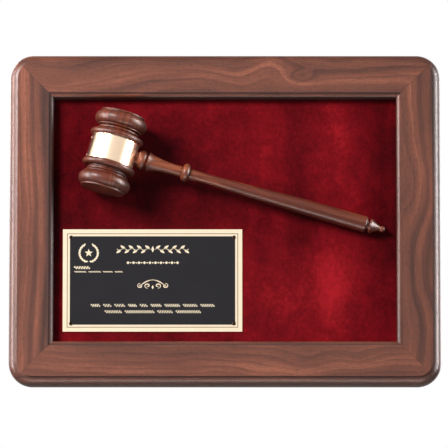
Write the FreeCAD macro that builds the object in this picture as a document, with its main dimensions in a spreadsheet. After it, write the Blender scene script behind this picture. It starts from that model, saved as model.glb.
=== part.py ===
import FreeCAD, Part

# Gavel plaque: a mitred walnut frame, a velour-covered board, a turned gavel and an engraved name plate.
#
# Millimetres. The plaque stands upright in the XZ plane. Its front looks toward -Y, its back lies on the wall
# plane Y = 0, and the origin is the centre of the back. Everything is stacked forward from the wall.

import os
import re

import Sketcher

Vector = FreeCAD.Vector
Rotation = FreeCAD.Rotation
Placement = FreeCAD.Placement

AXIS_X = Vector(1, 0, 0)
AXIS_Y = Vector(0, 1, 0)
AXIS_Z = Vector(0, 0, 1)
INTO_BACK = Rotation(AXIS_X, 90)  # turns a fastener's +Z to -Y, driven from the wall side
INTO_FRONT = Rotation(AXIS_X, -90)  # turns a fastener's +Z to +Y, driven from the front
UPRIGHT = Rotation()
# The frame's corners: the signs of X and Z, and the turn about Y that brings the first corner there.
CORNERS = (("", "", 0), ("", "-", 90), ("-", "-", 180), ("-", "", 270))

# ---------------------------------------------------------------------------------------------
# Driving sizes, millimetres and degrees
# ---------------------------------------------------------------------------------------------
SIZES = {
    # frame
    "outer_width": 431.8,
    "outer_height": 336.5,
    "corner_radius": 24,
    "moulding_width": 8.2,
    "moulding_step": 1.5,
    "moulding_drop": 11,
    "moulding_bulge": 2.7,
    "back_round_width": 4.5,
    "back_round_height": 8,
    "back_round_bulge": 1.6,
    "face_width": 31.5,
    "lip_width": 4.5,
    "lip_step": 1.2,
    "lip_drop": 5,
    "lip_bulge": 1.2,
    "mitre_gap": 0.1,
    "board_seat": 7,
    "panel_seat": 9,
    "seat_clearance": 0.3,
    # layers behind the recess
    "recess_depth": 13,
    "velour_thickness": 1.2,
    "board_thickness": 6,
    "panel_thickness": 2.6,
    "hem_width": 22,
    # fasteners
    "hole_clearance": 0.05,
    "panel_screws_across": 4,
    "panel_screws_down": 3,
    "v_nail_leg": 4.5,
    "v_nail_thickness": 0.6,
    "v_nail_height": 10,
    "v_nail_sink": 0.3,
    "v_nail_outer_place": 13,
    "v_nail_margin": 1.7,
    "staple_crown": 10,
    "staple_leg": 5,
    "staple_wire": 0.5,
    "staple_width": 0.8,
    "staples_across": 6,
    "staples_down": 4,
    # hangers
    "hanger_width": 16,
    "hanger_height": 44,
    "hanger_thickness": 1.5,
    "hanger_corner": 3,
    "hanger_rise": 84,
    "hanger_screw_reach": 17.5,
    "keyhole_radius": 4.5,
    "keyhole_slot_width": 4.4,
    "keyhole_slot_length": 11,
    "keyhole_drop": 6,
    "keyhole_pocket_width": 11,
    "keyhole_pocket_depth": 10,
    # gavel
    "gavel_from_left": 59.3,
    "gavel_from_top": 59.05,
    "gavel_lean": 15.5,
    "gavel_rest_gap": 0.1,
    "band_thickness": 0.8,
    "band_clearance": 0.05,
    "tenon_clearance": 0.1,
    "socket_bottom": 3.5,
    "handle_start": 4,
    "band_pin_reach": 9,
    "head_screw_place": 15.6,
    "handle_screw_place": 246,
    # name plate
    "plate_from_left": 9.45,
    "plate_from_bottom": 11.25,
    "plate_width": 179.5,
    "plate_height": 104,
    "plate_thickness": 0.9,
    "plate_border": 7.1,
    "plate_line_inset": 4.1,
    "plate_line_width": 0.7,
    "plate_line_depth": 0.3,
    "field_thickness": 0.6,
    "plate_pin_inset": 1.2,
}

# Turned profiles, from the axis start upward: name, length, radius at the start, radius at the end, bulge.
# A positive bulge is a bead that stands out from the line between its ends; a negative one is a cove.
# A bulge of None is worked out with the other derived sizes.
TURNED = {
    "gavel_head": (
        ("band_seat", 12.5, 23.15, 23.15, 0),
        ("ring", 6.1, 24.4, 23.0, 3.2),
        ("deep_cove", 1.6, 20.4, 19.4, -0.6),
        ("thin_bead", 2.6, 19.4, 19.6, 1.1),
        ("small_cove", 0.9, 19.2, 20.6, -0.3),
        ("fillet_bead", 1.5, 21.6, 21.6, 0.6),
        ("torus", 12.8, 21.6, 21.9, 4.7),
        ("quirk", 0.5, 21.3, 21.3, 0),
        ("rim", 1.5, 22.2, 21.8, 0.3),
    ),
    "gavel_handle": (
        ("tenon", 20.2, 6, 6, 0),
        ("shoulder", 1.7, 6.8, 6.8, 0),
        ("collar", 9.0, 6.8, 6.8, 3.2),
        ("collar_groove", 1.5, 7.2, 7.2, -0.5),
        ("bell_flare", 9.6, 10.3, 7.2, -0.6),
        ("bell_neck", 25.2, 7.2, 5.6, -0.8),
        ("bead_lip_in", 0.9, 5.2, 5.2, -0.2),
        ("bead", 7.6, 6.2, 6.2, 3.1),
        ("bead_lip_out", 0.9, 5.0, 5.0, -0.2),
        ("shaft_neck", 23.4, 5.6, 5.1, -0.15),
        ("shaft_swell", 96, 5.1, 7.8, 0),
        ("grip", 62, 7.8, 8.2, 0),
        ("grip_end", 2.6, 8.2, 6.5, 0.6),
        ("finial_groove", 2.4, 5.0, 5.0, -0.4),
        ("finial_step", 1.4, 6.2, 7.3, 0.25),
        ("finial_cone", 9.4, 7.9, 2.6, -0.25),
        ("finial_ball", 5.7, 2.2, 0.5, None),
    ),
    "gavel_band_pins": (
        ("cap", 0.4, 0.5, 1.0, 0.12),
        ("shaft", 8, 0.5, 0.5, 0),
        ("point", 1, 0.5, 0.1, 0),
    ),
    "plate_pins": (
        ("cap", 0.8, 0.8, 2.0, 0.28),
        ("shaft", 6.6, 0.6, 0.6, 0),
        ("point", 1, 0.6, 0.1, 0),
    ),
    "panel_screw": (
        ("sink", 1.6, 3.0, 1.4, 0),
        ("shank", 9.4, 1.4, 1.4, 0),
        ("point", 2.5, 1.4, 0.2, 0),
    ),
    "hanger_screw": (
        ("sink", 1.5, 2.8, 1.3, 0),
        ("shank", 8.5, 1.3, 1.3, 0),
        ("point", 2.5, 1.3, 0.2, 0),
    ),
    "head_screw": (
        ("sink", 2.3, 4.0, 1.8, 0),
        ("shank", 16, 1.8, 1.8, 0),
        ("point", 3, 1.8, 0.2, 0),
    ),
    "handle_screw": (
        ("sink", 1.8, 3.4, 1.5, 0),
        ("shank", 12, 1.5, 1.5, 0),
        ("point", 2.6, 1.5, 0.2, 0),
    ),
}
STEP_SIZES = ("length", "start", "end", "bulge")

# Cross recesses of the screws: tip to tip, width of a wing, depth.
RECESSES = {
    "panel_screw": (3.4, 0.8, 1.0),
    "hanger_screw": (3.2, 0.8, 0.9),
    "head_screw": (4.4, 1.0, 1.4),
    "handle_screw": (3.8, 0.9, 1.2),
}
RECESS_SIZES = ("span", "wing", "deep")

# Sizes that follow from the driving sizes. A formula may use any name above it.
DERIVED = {
    "half_width": "outer_width / 2",
    "half_height": "outer_height / 2",
    "rail_width": "moulding_width + face_width + lip_width",
    "sight_half_width": "half_width - rail_width",
    "sight_half_height": "half_height - rail_width",
    "panel_front": "-panel_thickness",
    "board_back": "panel_front - velour_thickness",
    "board_front": "board_back - board_thickness",
    "velour_front": "board_front - velour_thickness",
    "frame_front": "velour_front - recess_depth",
    "board_ledge": "rail_width - board_seat",
    "panel_ledge": "board_ledge - panel_seat",
    "velour_half_width": "half_width - board_ledge - seat_clearance",
    "velour_half_height": "half_height - board_ledge - seat_clearance",
    "board_half_width": "velour_half_width - velour_thickness",
    "board_half_height": "velour_half_height - velour_thickness",
    "panel_half_width": "half_width - panel_ledge - seat_clearance",
    "panel_half_height": "half_height - panel_ledge - seat_clearance",
    "panel_screw_x": "half_width - panel_ledge - panel_seat / 2",
    "panel_screw_z": "half_height - panel_ledge - panel_seat / 2",
    "v_nail_inner_place": "panel_ledge - v_nail_leg - v_nail_margin",
    "staple_x": "velour_half_width - hem_width / 2",
    "staple_z": "velour_half_height - hem_width / 2",
    "hanger_x": "half_width - back_round_width - (panel_ledge - back_round_width) / 2",
    "slot_top": "keyhole_slot_length - keyhole_drop",
    "ring_radius": "(gavel_head_ring_start + gavel_head_ring_end) / 2 + gavel_head_ring_bulge",
    "gavel_x": "gavel_from_left - sight_half_width",
    "gavel_y": "velour_front - ring_radius - gavel_rest_gap",
    "gavel_z": "sight_half_height - gavel_from_top",
    "grip_reach": "handle_start + " + " + ".join(
        f"gavel_handle_{row[0]}_length" for row in TURNED["gavel_handle"][:12]
    ),
    "gavel_dip": "asin((ring_radius - gavel_handle_grip_end) / grip_reach)",
    # the ball at the handle's tip is centred on the axis and ends in a small flat
    "ball_length": "gavel_handle_finial_ball_length",
    "ball_neck": "gavel_handle_finial_ball_start",
    "ball_flat": "gavel_handle_finial_ball_end",
    "ball_middle": "(ball_length^2 + ball_flat^2 - ball_neck^2) / (2 * ball_length)",
    "ball_radius": "sqrt(ball_neck^2 + ball_middle^2)",
    "ball_chord": "sqrt((ball_neck - ball_flat)^2 + ball_length^2)",
    "gavel_handle_finial_ball_bulge": "ball_radius - sqrt(ball_radius^2 - ball_chord^2 / 4)",
    "plate_x": "plate_from_left + plate_width / 2 - sight_half_width",
    "plate_z": "plate_from_bottom + plate_height / 2 - sight_half_height",
    "plate_front": "velour_front - plate_thickness",
    "field_front": "plate_front - field_thickness",
    "field_half_width": "plate_width / 2 - plate_border",
    "field_half_height": "plate_height / 2 - plate_border",
}

doc = FreeCAD.newDocument("gavel_plaque")
sheet = doc.addObject("Spreadsheet::Sheet", "Sizes")
parts = {}


# ---------------------------------------------------------------------------------------------
# The sheet, formulas and bindings
# ---------------------------------------------------------------------------------------------
def fill_sheet():
    """Every driving size, step of a turned profile and size of a recess gets a cell with its own name."""
    for piece, rows in TURNED.items():
        for step, *values in rows:
            for kind, value in zip(STEP_SIZES, values):
                if value is not None:
                    SIZES[f"{piece}_{step}_{kind}"] = value
    for screw, values in RECESSES.items():
        for kind, value in zip(RECESS_SIZES, values):
            SIZES[f"{screw}_recess_{kind}"] = value
    for row, (alias, value) in enumerate(SIZES.items(), start=1):
        sheet.set(f"A{row}", alias)
        sheet.set(f"B{row}", str(value))
        sheet.setAlias(f"B{row}", alias)
    doc.recompute()


def formula(text):
    """Writes plain size names out as an expression of the sheet's cells."""

    def written(match):
        word = match.group(0)
        if word in SIZES:
            return f"Sizes.{word}"
        if word in DERIVED:
            return f"({formula(DERIVED[word])})"
        return word

    return re.sub(r"[A-Za-z_]\w*", written, str(text))


def number(text):
    """The value of a formula, in millimetres or degrees."""
    value = sheet.evalExpression(formula(text))
    return float(getattr(value, "Value", value))


def bind(thing, path, text):
    thing.setExpression(path, formula(text))


def put(thing, place, turn=UPRIGHT):
    """Places an object at three formulas, turned by a fixed rotation."""
    thing.Placement = Placement(Vector(), turn)
    for axis, text in zip("xyz", place):
        bind(thing, f"Placement.Base.{axis}", text)
    return thing


# ---------------------------------------------------------------------------------------------
# Sketches and features
# ---------------------------------------------------------------------------------------------
def new_body(name):
    return doc.addObject("PartDesign::Body", name)


def origin_plane(body, role):
    return next(item for item in body.Origin.OriginFeatures if item.Role == role)


def arc_centre(start, end, bulge):
    """The centre of the arc that bulges to the right of the way from start to end, as formulas."""
    (x1, y1), (x2, y2) = start, end
    chord = f"sqrt((({x2}) - ({x1}))^2 + (({y2}) - ({y1}))^2)"
    reach = f"((({bulge})^2 - ({chord})^2 / 4) / (2 * ({bulge})) / {chord})"
    return (
        f"(({x1}) + ({x2})) / 2 + (({y2}) - ({y1})) * {reach}",
        f"(({y1}) + ({y2})) / 2 - (({x2}) - ({x1})) * {reach}",
    )


def arc_edge(start, end, bulge):
    """The same arc as geometry, from the values of its formulas."""
    first = Vector(number(start[0]), number(start[1]), 0)
    last = Vector(number(end[0]), number(end[1]), 0)
    way = (last - first).normalize()
    right = Vector(way.y, -way.x, 0)
    middle = (first + last) * 0.5 + right * number(bulge)
    return Part.Arc(first, middle, last)


def outline(sketch, points):
    """Adds one closed outline. A point is (x, y) or (x, y, bulge of the edge that leaves it), all formulas.

    Every corner is held by its distances from the sketch's origin, and every arc by one of its centre's.
    """
    corners = [(str(point[0]), str(point[1])) for point in points]
    bulges = [str(point[2]) if len(point) > 2 else "0" for point in points]
    follow = corners[1:] + corners[:1]
    constraints = []
    formulas = []

    def hold(kind, geometry, position, text):
        constraints.append(Sketcher.Constraint(kind, -1, 1, geometry, position, number(text)))
        formulas.append((len(constraints) - 1, text))

    ends = []
    for start, end, bulge in zip(corners, follow, bulges):
        if number(bulge) == 0:
            first = Vector(number(start[0]), number(start[1]), 0)
            last = Vector(number(end[0]), number(end[1]), 0)
            edge = sketch.addGeometry(Part.LineSegment(first, last))
            ends.append((edge, 1, 2))
            continue
        edge = sketch.addGeometry(arc_edge(start, end, bulge))
        begins = Vector(number(start[0]), number(start[1]), 0)
        forward = sketch.getPoint(edge, 1).distanceToPoint(begins) < 1e-6
        ends.append((edge, 1, 2) if forward else (edge, 2, 1))
        centre = arc_centre(start, end, bulge)
        width = abs(number(end[0]) - number(start[0]))
        height = abs(number(end[1]) - number(start[1]))
        if height > width:
            hold("DistanceX", edge, 3, centre[0])
        else:
            hold("DistanceY", edge, 3, centre[1])
    for index, (x, y) in enumerate(corners):
        edge, begin, _ = ends[index]
        hold("DistanceX", edge, begin, x)
        hold("DistanceY", edge, begin, y)
    first_constraint = sketch.ConstraintCount
    sketch.addConstraint(constraints)
    for index, text in formulas:
        sketch.setExpression(f"Constraints[{first_constraint + index}]", formula(text))
    joins = []
    for index, (edge, _, finish) in enumerate(ends):
        following, begin, _ = ends[(index + 1) % len(ends)]
        joins.append(Sketcher.Constraint("Coincident", edge, finish, following, begin))
    sketch.addConstraint(joins)


def new_sketch(body, name, role, *outlines, lift=None):
    """A sketch on one of the body's own origin planes, lifted off it along its normal by a formula."""
    sketch = body.newObject("Sketcher::SketchObject", name)
    sketch.AttachmentSupport = [(origin_plane(body, role), "")]
    sketch.MapMode = "FlatFace"
    if lift is not None:
        bind(sketch, "AttachmentOffset.Base.z", lift)
    for points in outlines:
        outline(sketch, points)
    return sketch


def rectangle(half_x, half_y):
    return (
        (f"-({half_x})", f"-({half_y})"),
        (half_x, f"-({half_y})"),
        (half_x, half_y),
        (f"-({half_x})", half_y),
    )


def rounded_rectangle(half_x, half_y, radius):
    """Straight sides joined by quarter circles, run counter-clockwise."""
    bulge = f"({radius}) * (1 - sqrt(2) / 2)"
    left, right = f"-({half_x})", f"({half_x})"
    low, high = f"-({half_y})", f"({half_y})"
    return (
        (f"{left} + {radius}", low),
        (f"{right} - {radius}", low, bulge),
        (right, f"{low} + {radius}"),
        (right, f"{high} - {radius}", bulge),
        (f"{right} - {radius}", high),
        (f"{left} + {radius}", high, bulge),
        (left, f"{high} - {radius}"),
        (left, f"{low} + {radius}", bulge),
    )


def pad(body, name, sketch, length, symmetric=False):
    feature = body.newObject("PartDesign::Pad", name)
    feature.Profile = sketch
    feature.SideType = "Symmetric" if symmetric else "One side"
    bind(feature, "Length", length)
    return feature


def pocket(body, name, sketch, length, symmetric=False, reverse=False):
    feature = body.newObject("PartDesign::Pocket", name)
    feature.Profile = sketch
    feature.SideType = "Symmetric" if symmetric else "One side"
    feature.Reversed = reverse
    bind(feature, "Length", length)
    return feature


def block(name, low, high):
    """A box between two corners, each three formulas."""
    box = doc.addObject("Part::Box", name)
    for side, first, last in zip(("Length", "Width", "Height"), low, high):
        bind(box, side, f"({last}) - ({first})")
    return put(box, low)


def cut(name, base, tool):
    result = doc.addObject("Part::Cut", name)
    result.Base = base
    result.Tool = tool
    return result


def link(name, target, place, turn=UPRIGHT):
    copy = doc.addObject("App::Link", name)
    copy.LinkedObject = target
    return put(copy, place, turn)


def group(name, members):
    result = doc.addObject("Part::Compound", name)
    result.Links = members
    return result


def part(node, thing):
    """Names a finished sub-part."""
    thing.Label = node
    parts[node] = thing
    return thing


def turned_outline(piece, clearance="0", start="0"):
    """The half section of a turned piece, to the right of its axis and grown by a clearance."""
    points = [("0", start)]
    level = start
    for step, *_ in TURNED[piece]:
        size = f"{piece}_{step}"
        begins = f"{size}_start + {clearance}"
        if number(points[-1][0]) == number(begins):
            points.pop()
        points.append((begins, level, f"{size}_bulge"))
        level = f"{level} + {size}_length"
        points.append((f"{size}_end + {clearance}", level))
    if number(points[-1][0]) > 0:
        points.append(("0", level))
    return points


def turned_body(name, piece, clearance="0", start="0"):
    body = new_body(name)
    section = new_sketch(body, f"{name}_section", "XZ_Plane", turned_outline(piece, clearance, start))
    turning = body.newObject("PartDesign::Revolution", f"{name}_turning")
    turning.Profile = section
    turning.ReferenceAxis = (section, ["V_Axis"])
    turning.Angle = 360
    return body


def screw_body(piece):
    """A countersunk screw with a cross recess, its head at the origin and its point up."""
    body = turned_body(f"{piece}_model", piece)
    tip = f"{piece}_recess_span / 2"
    wing = f"{piece}_recess_wing / 2"
    quarter = ((wing, f"-{tip}"), (wing, f"-{wing}"), (tip, f"-{wing}"))
    cross = []
    for _ in range(4):
        cross += quarter
        quarter = [(f"-({y})", x) for x, y in quarter]
    recess = new_sketch(body, f"{piece}_recess", "XY_Plane", cross)
    pocket(body, f"{piece}_drive", recess, f"{piece}_recess_deep", reverse=True)
    return body


def hole_body(piece):
    """The space that a fastener takes, with its clearance all round."""
    return turned_body(f"{piece}_hole", piece, clearance="hole_clearance")


def fastened(piece, body, places, turn):
    """One link to a fastener, and one to its hole, at every place."""
    hole = hole_body(piece)
    models, holes = [], []
    for index, place in enumerate(places, start=1):
        models.append(link(f"{piece}_{index}", body, place, turn))
        holes.append(link(f"{piece}_hole_{index}", hole, place, turn))
    return models, holes


def spread(count, span):
    """Formulas for places evenly spread along a span, each in the middle of its own share."""
    total = int(number(count))
    return [f"({span}) * {(2 * index + 1 - total)} / (2 * {count})" for index in range(total)]


# ---------------------------------------------------------------------------------------------
# Frame
# ---------------------------------------------------------------------------------------------
def edge_section(reach):
    """The moulded outer edge, from the wall side to the front, at a reach from the middle or an axis."""
    return (
        ("0", f"{reach} - back_round_width", "back_round_bulge"),
        ("-back_round_height", reach),
        ("frame_front + moulding_step + moulding_drop", reach, "moulding_bulge"),
        ("frame_front + moulding_step", f"{reach} - moulding_width"),
        ("frame_front", f"{reach} - moulding_width"),
    )


def form_bar(name, reach, length, turn):
    """A straight slab with the moulding on two opposite edges, between the corners."""
    body = new_body(name)
    upper = edge_section(reach)
    arcs = ("0",) + tuple(point[2] if len(point) > 2 else "0" for point in upper[:-1])
    lower = [(y, f"-({z})", arc) for (y, z, *_), arc in zip(upper, arcs)]
    section = new_sketch(body, f"{name}_section", "YZ_Plane", [*upper, *reversed(lower)])
    pad(body, f"{name}_length", section, f"{length} - 2 * corner_radius", symmetric=True)
    body.Placement = Placement(Vector(), Rotation(AXIS_Y, turn))
    return body


def form_corner():
    """A quarter turn of the moulding about a corner's axis, drawn for the corner at +X and +Z."""
    body = new_body("form_corner")
    outer = edge_section("corner_radius")
    section = new_sketch(body, "corner_section", "YZ_Plane", [("0", "0"), *outer, ("frame_front", "0")])
    turning = body.newObject("PartDesign::Revolution", "corner_turning")
    turning.Profile = section
    turning.ReferenceAxis = (section, ["H_Axis"])
    turning.Angle = 90
    return body


def frame_form():
    """The frame's outside: a slab with an ovolo in front, a round-over behind and round corners."""
    members = [
        form_bar("form_across", "half_height", "outer_width", 0),
        form_bar("form_upright", "half_width", "outer_height", 90),
    ]
    corner = form_corner()
    for index, (sign_x, sign_z, turn) in enumerate(CORNERS, start=1):
        x = f"{sign_x}(half_width - corner_radius)"
        z = f"{sign_z}(half_height - corner_radius)"
        members.append(link(f"form_corner_{index}", corner, (x, "0", z), Rotation(AXIS_Y, turn)))
    form = doc.addObject("Part::MultiFuse", "frame_form")
    form.Shapes = members
    return form


def rail_stock(side, length, across, turn):
    """One rail with its inner lip and its two ledges, mitred at both ends and turned to its side."""
    body = new_body(f"{side}_rail_stock")
    section = (
        ("frame_front", across),
        ("0", across),
        ("0", f"{across} - panel_ledge"),
        ("panel_front", f"{across} - panel_ledge"),
        ("panel_front", f"{across} - board_ledge"),
        ("velour_front", f"{across} - board_ledge"),
        ("velour_front", f"{across} - rail_width"),
        ("frame_front + lip_drop", f"{across} - rail_width", "-lip_bulge"),
        ("frame_front + lip_step", f"{across} - rail_width + lip_width"),
        ("frame_front", f"{across} - rail_width + lip_width"),
    )
    profile = new_sketch(body, f"{side}_rail_section", "YZ_Plane", section)
    pad(body, f"{side}_rail_length", profile, length, symmetric=True)
    back_off = "mitre_gap / sqrt(2)"
    tip = f"({length}) / 2 - {back_off}"
    beyond = "rail_width + 1"
    ends = []
    for sign in ("", "-"):
        corners = (
            (f"{tip} + 1", f"{across} + 1"),
            (f"{tip} - ({beyond})", f"{across} - ({beyond})"),
            (f"{tip} + {beyond}", f"{across} - ({beyond})"),
            (f"{tip} + {beyond}", f"{across} + 1"),
        )
        ends.append([(f"{sign}({x})", z) for x, z in corners])
    mitres = new_sketch(body, f"{side}_rail_mitres", "XZ_Plane", *ends)
    pocket(body, f"{side}_rail_ends", mitres, "-3 * (frame_front)", symmetric=True)
    body.Placement = Placement(Vector(), Rotation(AXIS_Y, turn))
    return body


def v_nail_body(name, grow="0", length="v_nail_height"):
    """A bent nail whose two legs stand either side of the mitre, drawn for the corner at +X and +Z."""
    body = new_body(name)
    leg = f"-(v_nail_leg + {grow})"
    inside = f"-(v_nail_thickness + {grow})"
    bend = ((grow, grow), (leg, grow), (leg, inside), (inside, inside), (inside, leg), (grow, leg))
    pad(body, f"{name}_length", new_sketch(body, f"{name}_bend", "XZ_Plane", bend), length)
    return body


def corner_nails():
    """Two nails across every mitre, sunk just below the back."""
    nail = v_nail_body("v_nail")
    slot = v_nail_body("v_nail_slot", "hole_clearance", "v_nail_height + v_nail_sink + hole_clearance")
    nails, slots = [], []
    for index, (sign_x, sign_z, turn) in enumerate(CORNERS, start=1):
        for place in ("outer", "inner"):
            x = f"{sign_x}(half_width - v_nail_{place}_place)"
            z = f"{sign_z}(half_height - v_nail_{place}_place)"
            spin = Rotation(AXIS_Y, turn)
            nails.append(link(f"v_nail_{place}_{index}", nail, (x, "-v_nail_sink", z), spin))
            slots.append(link(f"v_nail_slot_{place}_{index}", slot, (x, "0", z), spin))
    return nails, slots


def panel_screw_places():
    places = []
    for sign in ("", "-"):
        for x in spread("panel_screws_across", "2 * panel_half_width"):
            places.append((x, "0", f"{sign}(panel_screw_z)"))
        for z in spread("panel_screws_down", "2 * panel_half_height"):
            places.append((f"{sign}(panel_screw_x)", "0", z))
    return places


# ---------------------------------------------------------------------------------------------
# Keyhole hangers
# ---------------------------------------------------------------------------------------------
def keyhole_outline(grow="0"):
    """A round entry with a slot that runs up from it to a round end."""
    half_slot = f"(keyhole_slot_width / 2 + {grow})"
    radius = f"(keyhole_radius + {grow})"
    rise = f"sqrt({radius}^2 - {half_slot}^2)"
    entry = "-keyhole_drop"
    return (
        (half_slot, f"{entry} + {rise}"),
        (half_slot, "slot_top", half_slot),
        (f"-{half_slot}", "slot_top"),
        (f"-{half_slot}", f"{entry} + {rise}", f"{radius} + {rise}"),
    )


def hanger_plate(name, grow="0"):
    """A rounded plate; its own origin is the middle of the face that lies flush with the back."""
    body = new_body(name)
    form = rounded_rectangle(f"hanger_width / 2 + {grow}", f"hanger_height / 2 + {grow}", "hanger_corner")
    plan = new_sketch(body, f"{name}_plan", "XZ_Plane", form)
    pad(body, f"{name}_plate", plan, f"hanger_thickness + {grow}")
    return body


def hanger_places(side):
    """The hanger's place and its two screws', one above the other."""
    x = f"{side}(hanger_x)"
    screws = [(x, "0", f"hanger_rise {sign} hanger_screw_reach") for sign in ("+", "-")]
    return (x, "0", "hanger_rise"), screws


def hangers():
    """Both hangers, with what has to be cut out of the rails behind them."""
    plates, recesses, screw_spots = {}, [], []
    nest = hanger_plate("hanger_nest", "hole_clearance")
    for side, sign in (("left", "-"), ("right", "")):
        place, screws = hanger_places(sign)
        plate = hanger_plate(f"{side}_hanger_blank")
        keyhole = new_sketch(plate, f"{side}_keyhole", "XZ_Plane", keyhole_outline())
        pocket(plate, f"{side}_keyhole_cut", keyhole, "3 * hanger_thickness", symmetric=True)
        plates[side] = put(plate, place)
        recesses.append(link(f"hanger_nest_{side}", nest, place))
        x, _, z = place
        half = "keyhole_pocket_width / 2"
        deepest = "-hanger_thickness - keyhole_pocket_depth"
        low = (f"{x} - {half}", deepest, f"{z} - keyhole_drop - {half}")
        high = (f"{x} + {half}", "-hanger_thickness", f"{z} + slot_top + {half}")
        recesses.append(block(f"keyhole_pocket_{side}", low, high))
        screw_spots += screws
    return plates, recesses, screw_spots


# ---------------------------------------------------------------------------------------------
# Board, velour and back
# ---------------------------------------------------------------------------------------------
def slab(name, half_x, half_z, front, back):
    return block(name, (f"-({half_x})", front, f"-({half_z})"), (half_x, back, half_z))


def velour_wrap():
    """The cloth over the board's front and edges, with its hem turned onto the board's back."""
    outside = slab("velour_outside", "velour_half_width", "velour_half_height", "velour_front", "panel_front")
    inside = slab("velour_inside", "board_half_width", "board_half_height", "board_front", "board_back")
    opening = slab(
        "velour_opening",
        "velour_half_width - hem_width",
        "velour_half_height - hem_width",
        "board_back - 1",
        "panel_front + 1",
    )
    return cut("velour_wrap", cut("velour_shell", outside, inside), opening)


def staple_body(name, grow="0"):
    """A staple with its crown along X at the origin and its legs toward -Y."""
    body = new_body(name)
    outer = f"(staple_crown / 2 + {grow})"
    inner = f"(staple_crown / 2 - staple_wire - {grow})"
    crown = f"(-staple_wire - {grow})"
    foot = f"(-staple_wire - staple_leg - {grow})"
    left = ((f"-{outer}", "0"), (f"-{outer}", foot), (f"-{inner}", foot), (f"-{inner}", crown))
    right = ((inner, crown), (inner, foot), (outer, foot), (outer, "0"))
    profile = new_sketch(body, f"{name}_bend", "XY_Plane", left + right)
    pad(body, f"{name}_width", profile, f"staple_width + 2 * {grow}", symmetric=True)
    return body


def hem_staples():
    """Staples along the middle of the hem, their crowns sunk level with the cloth."""
    staple = staple_body("staple")
    space = staple_body("staple_space", "hole_clearance")
    models, spaces = [], []
    places = []
    for sign in ("", "-"):
        for x in spread("staples_across", "2 * staple_x"):
            places.append(((x, "panel_front", f"{sign}(staple_z)"), UPRIGHT))
        for z in spread("staples_down", "2 * staple_z"):
            places.append(((f"{sign}(staple_x)", "panel_front", z), Rotation(AXIS_Y, 90)))
    for index, (place, turn) in enumerate(places, start=1):
        models.append(link(f"staple_{index}", staple, place, turn))
        spaces.append(link(f"staple_space_{index}", space, place, turn))
    return models, spaces


# ---------------------------------------------------------------------------------------------
# Gavel
# ---------------------------------------------------------------------------------------------
def gavel_spot(along="0", up="0", out="0"):
    """A point on the gavel in its own directions: along the handle, up the head's axis, out of the board."""
    return (
        f"gavel_x + ({along}) * cos(gavel_lean) + ({up}) * sin(gavel_lean)",
        f"gavel_y - ({out})",
        f"gavel_z - ({along}) * sin(gavel_lean) + ({up}) * cos(gavel_lean)",
    )


def lean():
    return Rotation(AXIS_Y, number("gavel_lean"))


def handle_turn():
    """Turns a piece's own axis along the handle, which dips until the grip lies on the velour."""
    return lean().multiply(Rotation(AXIS_Z, number("gavel_dip"))).multiply(Rotation(AXIS_Y, 90))


def head_body():
    """One turned half, mirrored about the handle's plane."""
    body = turned_body("head_turning", "gavel_head")
    mirror = body.newObject("PartDesign::Mirrored", "head_mirror")
    mirror.Originals = [body.Tip]
    mirror.MirrorPlane = (origin_plane(body, "XY_Plane"), [""])
    body.Tip = mirror
    return put(body, gavel_spot(), lean())


def band_body():
    """A brass sleeve in the head's middle groove, standing just clear of the wood."""
    body = new_body("band_sleeve")
    inner = "gavel_head_band_seat_start + band_clearance"
    outer = f"{inner} + band_thickness"
    top = "gavel_head_band_seat_length - band_clearance"
    ring = ((inner, f"-({top})"), (outer, f"-({top})"), (outer, top), (inner, top))
    section = new_sketch(body, "band_section", "XZ_Plane", ring)
    turning = body.newObject("PartDesign::Revolution", "band_turning")
    turning.Profile = section
    turning.ReferenceAxis = (section, ["V_Axis"])
    turning.Angle = 360
    return put(body, gavel_spot(), lean())


def tenon_socket():
    """The bore in head and band for the handle's tenon."""
    bore = doc.addObject("Part::Cylinder", "tenon_socket")
    bind(bore, "Radius", "gavel_handle_tenon_start + tenon_clearance")
    bind(bore, "Height", "ring_radius * 2 - socket_bottom")
    start = gavel_spot("socket_bottom * cos(gavel_dip)", "0", "-socket_bottom * sin(gavel_dip)")
    return put(bore, start, handle_turn())


def band_pin_spots():
    """Two pins through the band on the side away from the handle, one near each end."""
    surface = "gavel_head_band_seat_start + band_clearance + band_thickness + gavel_band_pins_cap_length"
    return [gavel_spot(f"-({surface})", f"{sign}band_pin_reach") for sign in ("", "-")]


# ---------------------------------------------------------------------------------------------
# Name plate
# ---------------------------------------------------------------------------------------------
def brass_plate():
    """The border plate with one fine engraved line round it."""
    body = new_body("brass_plate")
    form = new_sketch(body, "brass_plate_plan", "XZ_Plane", rectangle("plate_width / 2", "plate_height / 2"))
    pad(body, "brass_plate_sheet", form, "plate_thickness")
    loops = []
    for inset in ("plate_line_inset", "(plate_line_inset + plate_line_width)"):
        loops.append(rectangle(f"plate_width / 2 - {inset}", f"plate_height / 2 - {inset}"))
    line = new_sketch(body, "brass_plate_line", "XZ_Plane", *loops, lift="plate_thickness")
    pocket(body, "brass_plate_engraving", line, "plate_line_depth")
    return put(body, ("plate_x", "velour_front", "plate_z"))


def black_field():
    body = new_body("black_field")
    shape = rectangle("field_half_width", "field_half_height")
    plan = new_sketch(body, "black_field_plan", "XZ_Plane", shape)
    pad(body, "black_field_sheet", plan, "field_thickness")
    return put(body, ("plate_x", "plate_front", "plate_z"))


def plate_pin_spots():
    spots = []
    for sign_x in ("-", "+"):
        for sign_z in ("-", "+"):
            x = f"plate_x {sign_x} (field_half_width - plate_pin_inset)"
            z = f"plate_z {sign_z} (field_half_height - plate_pin_inset)"
            spots.append((x, "field_front - plate_pins_cap_length", z))
    return spots


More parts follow.
